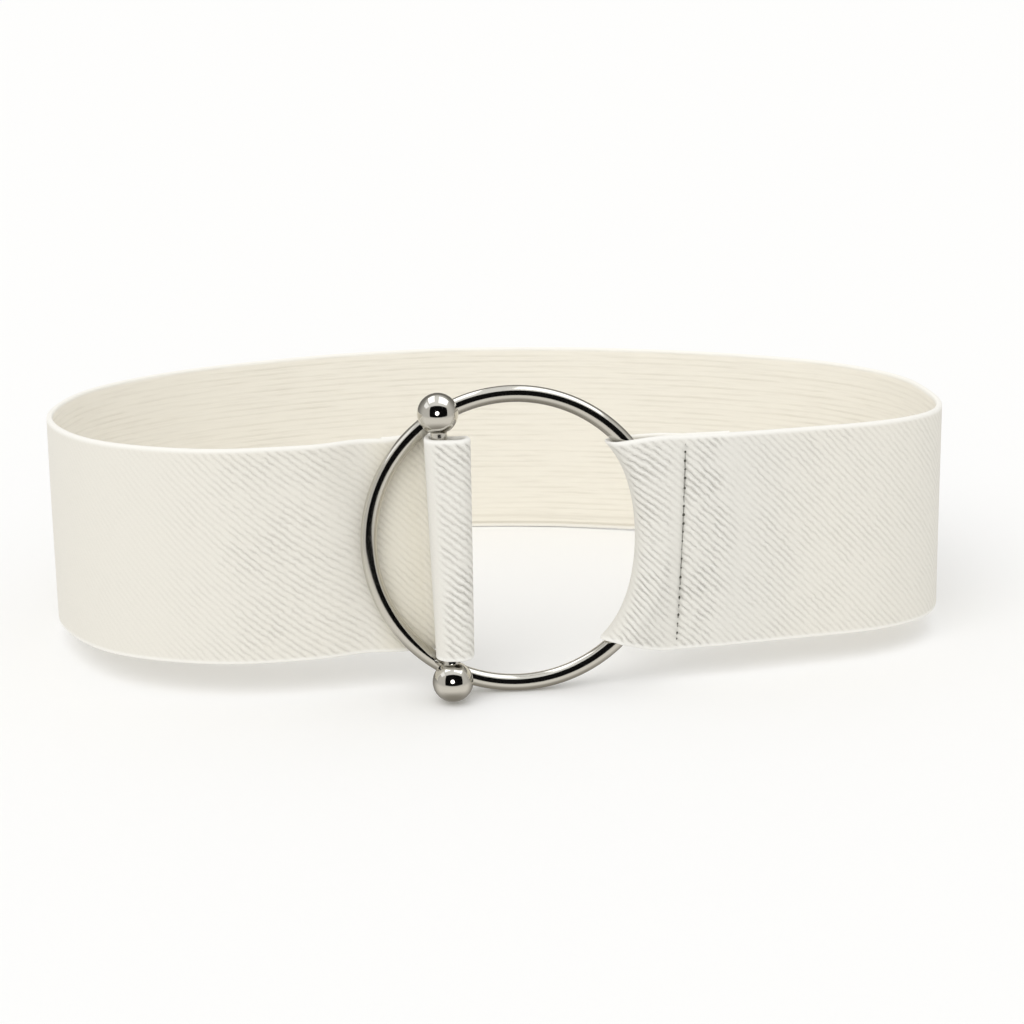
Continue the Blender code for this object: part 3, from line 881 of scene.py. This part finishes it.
def weave_map(finish):
    """The weave's own map, with its run and its height in metres."""
    uv = finish.node("ShaderNodeUVMap", {"uv_map": "weave"})
    run = finish.node("ShaderNodeSeparateXYZ", None, uv)
    return uv, run, finish.part(run, "Y")


def woven_edge(height):
    """1 at the tape's two woven edges."""
    return 1.0 - height.sum("MINIMUM", BAND_WIDTH - height).between(EDGE_START, EDGE_END)


def finish_cloth(finish, colour, relief, distance, strength):
    """Matt woven cloth with a faint sheen."""
    finish.set(Base_Color=colour, Roughness=0.92, Normal=finish.bump(relief, distance, strength))
    finish.set(Sheen_Weight=0.10, Sheen_Roughness=0.5, Specular_IOR_Level=0.15)
    return finish.material


def twill_finish():
    """The outer face: narrow diagonal grooves with painted shade and ridges with a painted highlight,
    broken and uneven, finer yarns and calm woven edges with a painted highlight.
    """
    finish = Finish("elastic_twill")
    uv, run, height = weave_map(finish)
    bold = finish.attribute("bold")
    shade_tint = finish.attribute("shade_tint")
    edge = woven_edge(height)
    yarn = ((run * 0.9 + height) * (2.0 * math.pi / YARN_PITCH)).sum("SINE") * 0.5 + 0.5
    wander = (finish.noise(uv, 130.0) - 0.5) * 0.50 + (finish.noise(uv, 620.0) - 0.5) * 0.52
    turn = (height - run) / TWILL_PITCH + wander + yarn * 0.05
    index = turn.sum("FLOOR")
    ridge = (turn - index - 0.5).sum("ABSOLUTE") * 2.0
    dash = finish.noise(finish.stretched((run + height * 0.8) * 230.0, index * 5.17), 1.0)
    patch = finish.noise(uv, 75.0)
    deep = (dash.between(0.28, 0.66) * 0.7 + 0.3) * (patch.between(0.25, 0.75) * 0.5 + 0.6)
    deep = deep * bold * (1.0 - edge)
    groove = (ridge.between(0.10, 0.90) * 0.5 + ridge.between(0.62, 1.0) * 0.55) * deep
    fuzz = finish.noise(uv, 2400.0, 4.0, 0.7)
    streak = finish.noise(finish.stretched(run * 160.0, height * 900.0), 1.0, 3.0, 0.6)
    sewn = finish.attribute("sewn") * height.between(SEAM_LOW - 0.001, SEAM_LOW + 0.002)
    sewn = sewn * (BAND_WIDTH - height).between(SEAM_HIGH - 0.001, SEAM_HIGH)

    # painted shade by place: a warm tint in the passage through the ring, a greyer shade at the sewn ends
    colour = finish.mix(shade_tint.between(0.0, 0.5), CREAM_WARM_SHADE, CREAM_CALM)
    colour = finish.mix(shade_tint.between(0.5, 1.0), colour, CREAM_ENDS_SHADE)
    colour = finish.mix(finish.noise(uv, 22.0) * 0.30, colour, CREAM_PATCH)
    colour = finish.mix(fuzz.between(0.35, 0.75) * 0.10, colour, CREAM_GROOVE_SHADE_AND_SPECKLE)
    # painted highlight on the crests of the ridges
    colour = finish.mix((1.0 - ridge.between(0.0, 0.5)) * deep * 0.5, colour, CREAM_RIDGE_HIGHLIGHT)
    # painted shade in the grooves, and a little all over where the diagonals are faint, for the yarns'
    # unresolved shade
    colour = finish.mix((1.0 - bold) * 0.045 + groove * 0.54, colour, CREAM_GROOVE_SHADE_AND_SPECKLE)
    # painted shade along the sewn seams, between the seam's ends
    colour = finish.mix(sewn * (patch.between(0.3, 0.7) * 0.5 + 0.5) * 0.48, colour, SEAM_SHADE)
    # painted highlight along the woven edges
    colour = finish.mix(edge * 0.65, colour, CREAM_EDGE_HIGHLIGHT)
    relief = yarn * 0.06 * bold + fuzz * 0.10 + streak * 0.14 - groove
    return finish_cloth(finish, colour, relief, TWILL_RELIEF, 0.9)


def rib_finish():
    """The inner face: faint level ribs with painted shade in their valleys, broken by fine streaks, two
    lines woven in beside the hem, and a painted highlight on the woven edges.
    """
    finish = Finish("elastic_ribs")
    uv, run, height = weave_map(finish)
    turn = height / RIB_PITCH + (finish.noise(uv, 30.0) - 0.5) * 0.3
    ridge = (turn * (2.0 * math.pi)).sum("SINE") * 0.5 + 0.5
    broad = finish.noise(finish.stretched(run * 45.0, height * 520.0), 1.0)
    streak = finish.noise(finish.stretched(run * 60.0, height * 820.0), 1.0, 2.0, 0.6)
    fuzz = finish.noise(uv, 2400.0, 4.0, 0.7)
    valley = (1.0 - ridge.between(0.0, 0.6)) * (broad.between(0.36, 0.62) * 0.85 + 0.15)
    valley = valley * (finish.noise(uv, 26.0).between(0.36, 0.62) * 0.6 + 0.45)
    line = 0.0
    for middle, reach, flat, strength in HEM_LINES:
        away = ((height - middle) / reach).sum("ABSOLUTE")
        line = line + (1.0 - away.between(flat, 1.0)) * strength

    # painted shade in the ribs' valleys, with fine streaks
    colour = finish.mix(valley * 0.22 + streak.between(0.42, 0.80) * 0.15, CREAM_INNER, CREAM_VALLEY_SHADE_AND_LINES)
    colour = finish.mix(line * 0.62, colour, CREAM_VALLEY_SHADE_AND_LINES)
    # painted highlight along the woven edges
    colour = finish.mix(woven_edge(height) * 0.65, colour, CREAM_EDGE_HIGHLIGHT)
    relief = fuzz * 0.10 - streak * 0.40 - valley * 0.45 - line * 0.6
    return finish_cloth(finish, colour, relief, RIB_RELIEF, 0.8)


def metal_finish(name, roughness):
    """Polished nickel, with the faintest marks of handling."""
    finish = Finish(name)
    place = finish.place()
    marks = finish.noise(place, 900.0, 4.0, 0.7)
    finish.set(Base_Color=finish.mix(finish.noise(place, 70.0) * 0.6, NICKEL, NICKEL_WARM), Metallic=1.0)
    finish.set(Roughness=marks.between(0.45, 0.85) * 0.05 + roughness)
    finish.set(Normal=finish.bump(marks, 0.000004, 0.5))
    return finish.material


def thread_finish():
    """Dark grey-green sewing thread with its twist."""
    finish = Finish("seam_thread")
    place = finish.place()
    across = finish.node("ShaderNodeSeparateXYZ", None, place)
    up = finish.part(across, "Z")
    twist = ((up + across * 0.6) * (2.0 * math.pi / TWIST_PITCH)).sum("SINE") * 0.5 + 0.5
    worn = finish.noise(place, 420.0).between(0.35, 0.65)
    colour = finish.mix(twist * 0.4 + worn * 0.5, THREAD_DARK, THREAD_LIGHT)
    finish.set(Base_Color=colour, Roughness=0.7, Normal=finish.bump(twist, 0.00005))
    return finish.material


def hole_shade_finish():
    """The painted shade deep in a needle hole: nearly black, with a faint speckle."""
    finish = Finish("needle_hole_shade")
    hole_speckle = finish.noise(finish.place(), 3600.0, 3.0, 0.6)
    finish.set(Base_Color=finish.mix(hole_speckle.between(0.30, 0.70), HOLE_SHADE_DARK, HOLE_SHADE_LIGHT), Roughness=0.95)
    finish.set(Specular_IOR_Level=0.0, Normal=finish.bump(hole_speckle, 0.0001))
    return finish.material


def floor_finish():
    """The studio's plain matt floor."""
    finish = Finish("pale_floor")
    finish.set(Base_Color=FLOOR_COLOUR, Roughness=0.9, Specular_IOR_Level=0.0)
    return finish.material


def glow_finish(finish, colour, glow):
    """A surface that only glows, also where it stands for something dark."""
    finish.set(Base_Color=BLACK, Roughness=1.0, Specular_IOR_Level=0.0)
    finish.set(Emission_Color=colour, Emission_Strength=glow)
    return finish.material


def room_reflection_finish():
    """The room that the metal mirrors, glowing as a painted reflection: grey walls, darker far behind, and
    a warm floor with painted shadow below.
    """
    finish = Finish("painted_room_reflection")
    split = finish.node("ShaderNodeSeparateXYZ", None, finish.place())
    behind = (finish.part(split, "Y") / ROOM_RADIUS).between(-0.2, 0.95)
    below = finish.part(split, "Z") / -ROOM_RADIUS
    walls = finish.mix(behind, WALL, WALL_BEHIND)
    walls = finish.mix(below.between(-0.95, -0.45), CEILING, walls)
    # painted shadow on the mirrored ground straight below
    ground = finish.mix(below.between(0.55, 1.0), GROUND, GROUND_PAINTED_SHADOW)
    ground = finish.mix(behind * 0.85, ground, GROUND_BEHIND)
    return glow_finish(finish, finish.mix(below.between(0.05, 0.30), walls, ground), 1.0)


# The camera, in the belt's frame: metres and degrees.
CAMERA_PLACE = Vector((0.0054, -0.801, 0.218))
CAMERA_PITCH = math.radians(13.55)
CAMERA_ROLL = math.radians(0.91)
CAMERA_LENS = 89.12         # millimetres, as the sensor's width is
SENSOR = 36.0

# The floor and the light that falls on the belt.
FLOOR_SIZE = 12.0
SURROUNDINGS = 0.86
KEY_PLACE = (-0.45, -1.1, 1.5)
KEY_SPREAD = math.radians(50.0)
KEY_ENERGY = 0.88
KEY_COLOUR = (1.0, 0.985, 0.96)

# What only the metal mirrors, painted reflections that glow but light nothing: the room, a dark wall behind
# the camera, and soft boxes over the belt.
ROOM_RADIUS = 4.0
BUCKLE_PLACE = Vector((0.0, -0.08, 0.05))
DARK_WALL_PLACE = (0.55, 0.43, 1.9)     # right of, above and back from the buckle, as the camera sees it
DARK_WALL_SIZE = (4.8, 2.55)
SOFT_BOX_HEIGHT = 1.5
SOFT_BOXES = (
    # name, across, deep, width, depth, glow
    ("soft_box_a", -0.71, 0.56, 0.8, 1.5, 2.2),
    ("soft_box_b", 0.79, 0.22, 1.3, 1.3, 2.2),
    ("soft_box_c", -2.10, -0.07, 1.4, 1.35, 1.3),
)
GLINT_PLACE = Vector((-0.03, -0.09, 0.05))
GLINT_BACK = 1.1            # from there towards the camera
GLINT_RADIUS = 0.20
GLINT_ENERGY = 9.0


def make_camera(place):
    """The camera at the photograph's place, looking level along +Y, pitched down and rolled a little."""
    forward = Vector((0.0, math.cos(CAMERA_PITCH), -math.sin(CAMERA_PITCH)))
    upright = Vector((0.0, math.sin(CAMERA_PITCH), math.cos(CAMERA_PITCH)))
    level = Vector((1.0, 0.0, 0.0))
    right = math.cos(CAMERA_ROLL) * level - math.sin(CAMERA_ROLL) * upright
    above = math.cos(CAMERA_ROLL) * upright + math.sin(CAMERA_ROLL) * level
    turn = Matrix((right, above, -forward)).transposed().to_4x4()
    camera = bpy.data.objects.new("camera", bpy.data.cameras.new("camera"))
    camera.matrix_world = place @ Matrix.Translation(CAMERA_PLACE) @ turn
    camera.data.lens = CAMERA_LENS
    camera.data.sensor_width = SENSOR
    camera.data.sensor_fit = "HORIZONTAL"
    camera.data.clip_start = 0.01
    bpy.context.collection.objects.link(camera)
    bpy.context.scene.camera = camera
    return camera


def aim(thing, place, target):
    """Puts a light or a card at a place, facing a target."""
    thing.location = place
    thing.rotation_euler = (Vector(target) - Vector(place)).to_track_quat("-Z", "Y").to_euler()


def mirrored_only(thing):
    """Only the metal's reflections see a thing of the studio."""
    thing.visible_camera = False
    thing.visible_diffuse = False
    thing.visible_shadow = False
    thing.visible_transmission = False


def make_card(name, place, target, size, colour, glow):
    """A flat card for the metal to mirror."""
    start_piece()
    bpy.ops.mesh.primitive_plane_add(size=1.0)
    card = bpy.context.object
    card.name = name
    card.data.materials.append(glow_finish(Finish(name), colour, glow))
    aim(card, place, target)
    card.scale = (*size, 1.0)
    mirrored_only(card)


def make_room(camera):
    """What the metal mirrors, as glowing painted reflections: a dim room, a dark wall behind the camera and
    three soft boxes overhead.
    """
    start_piece()
    bpy.ops.mesh.primitive_uv_sphere_add(
        segments=ROOM_SEGMENTS, ring_count=ROOM_SEGMENTS // 2, radius=ROOM_RADIUS
    )
    room = bpy.context.object
    room.name = "room"
    room.data.materials.append(room_reflection_finish())
    mirrored_only(room)
    right, above, sight = (camera.matrix_world.to_3x3().col[i] for i in range(3))
    beside, over, back = DARK_WALL_PLACE
    middle = BUCKLE_PLACE + beside * right + over * above + back * sight
    make_card("dark_wall", middle, middle - sight, DARK_WALL_SIZE, NEARLY_BLACK, 1.0)
    for name, x, y, width, depth, glow in SOFT_BOXES:
        make_card(name, (x, y, SOFT_BOX_HEIGHT), (x, y, 0.0), (width, depth), WHITE, glow)


def make_glint(camera, toggle):
    """A small lamp near the camera that lights the toggle alone, for the bright point on its balls."""
    lamp = bpy.data.lights.new("ball_glint", "POINT")
    lamp.shadow_soft_size = GLINT_RADIUS
    lamp.energy = GLINT_ENERGY
    glint = bpy.data.objects.new("ball_glint", lamp)
    glint.location = GLINT_PLACE + GLINT_BACK * camera.matrix_world.to_3x3().col[2]
    bpy.context.collection.objects.link(glint)
    lit = bpy.data.collections.new("balls_only")
    lit.objects.link(toggle)
    glint.light_linking.receiver_collection = lit


def make_studio():
    """Pale floor, white surroundings and one broad soft light from the upper left."""
    world = bpy.context.scene.world or bpy.data.worlds.new("studio")
    bpy.context.scene.world = world
    world.use_nodes = True
    background = world.node_tree.nodes["Background"]
    background.inputs["Color"].default_value = WHITE
    background.inputs["Strength"].default_value = SURROUNDINGS
    bpy.context.scene.view_settings.view_transform = "Standard"

    start_piece()
    bpy.ops.mesh.primitive_plane_add(size=FLOOR_SIZE)
    floor = bpy.context.object
    floor.name = "floor"
    floor.data.materials.append(floor_finish())
    floor.visible_glossy = False

    lamp = bpy.data.lights.new("key_light", "SUN")
    lamp.angle = KEY_SPREAD
    lamp.energy = KEY_ENERGY
    lamp.color = KEY_COLOUR
    key = bpy.data.objects.new("key_light", lamp)
    key.visible_glossy = False
    bpy.context.collection.objects.link(key)
    aim(key, KEY_PLACE, (0.0, 0.0, 0.0))


place = belt_frame()
camera = make_camera(place)

tape, tape_length = make_tape(place)
tape.data.materials.append(twill_finish())
tape.data.materials.append(rib_finish())

ring = make_ring(place)
ring.data.materials.append(metal_finish("ring_nickel", RING_ROUGHNESS))
toggle = make_toggle(place)
toggle.data.materials.append(metal_finish("toggle_nickel", TOGGLE_ROUGHNESS))

thread = thread_finish()
dark = hole_shade_finish()
for name, back in (("seam_stitches", False), ("tail_stitches", True)):
    stitches = make_stitches(name, seam_places(place, back), thread, dark)
    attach(stitches, "root")

stand_ins = (
    (tape, "elastic_band", "elastic"),
    (ring, "buckle_ring", "metal"),
    (toggle, "toggle_bar", "metal"),
)
for piece, node, slot in stand_ins:
    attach(piece, "root")
    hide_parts(node)

make_studio()
make_room(camera)
make_glint(camera, toggle)
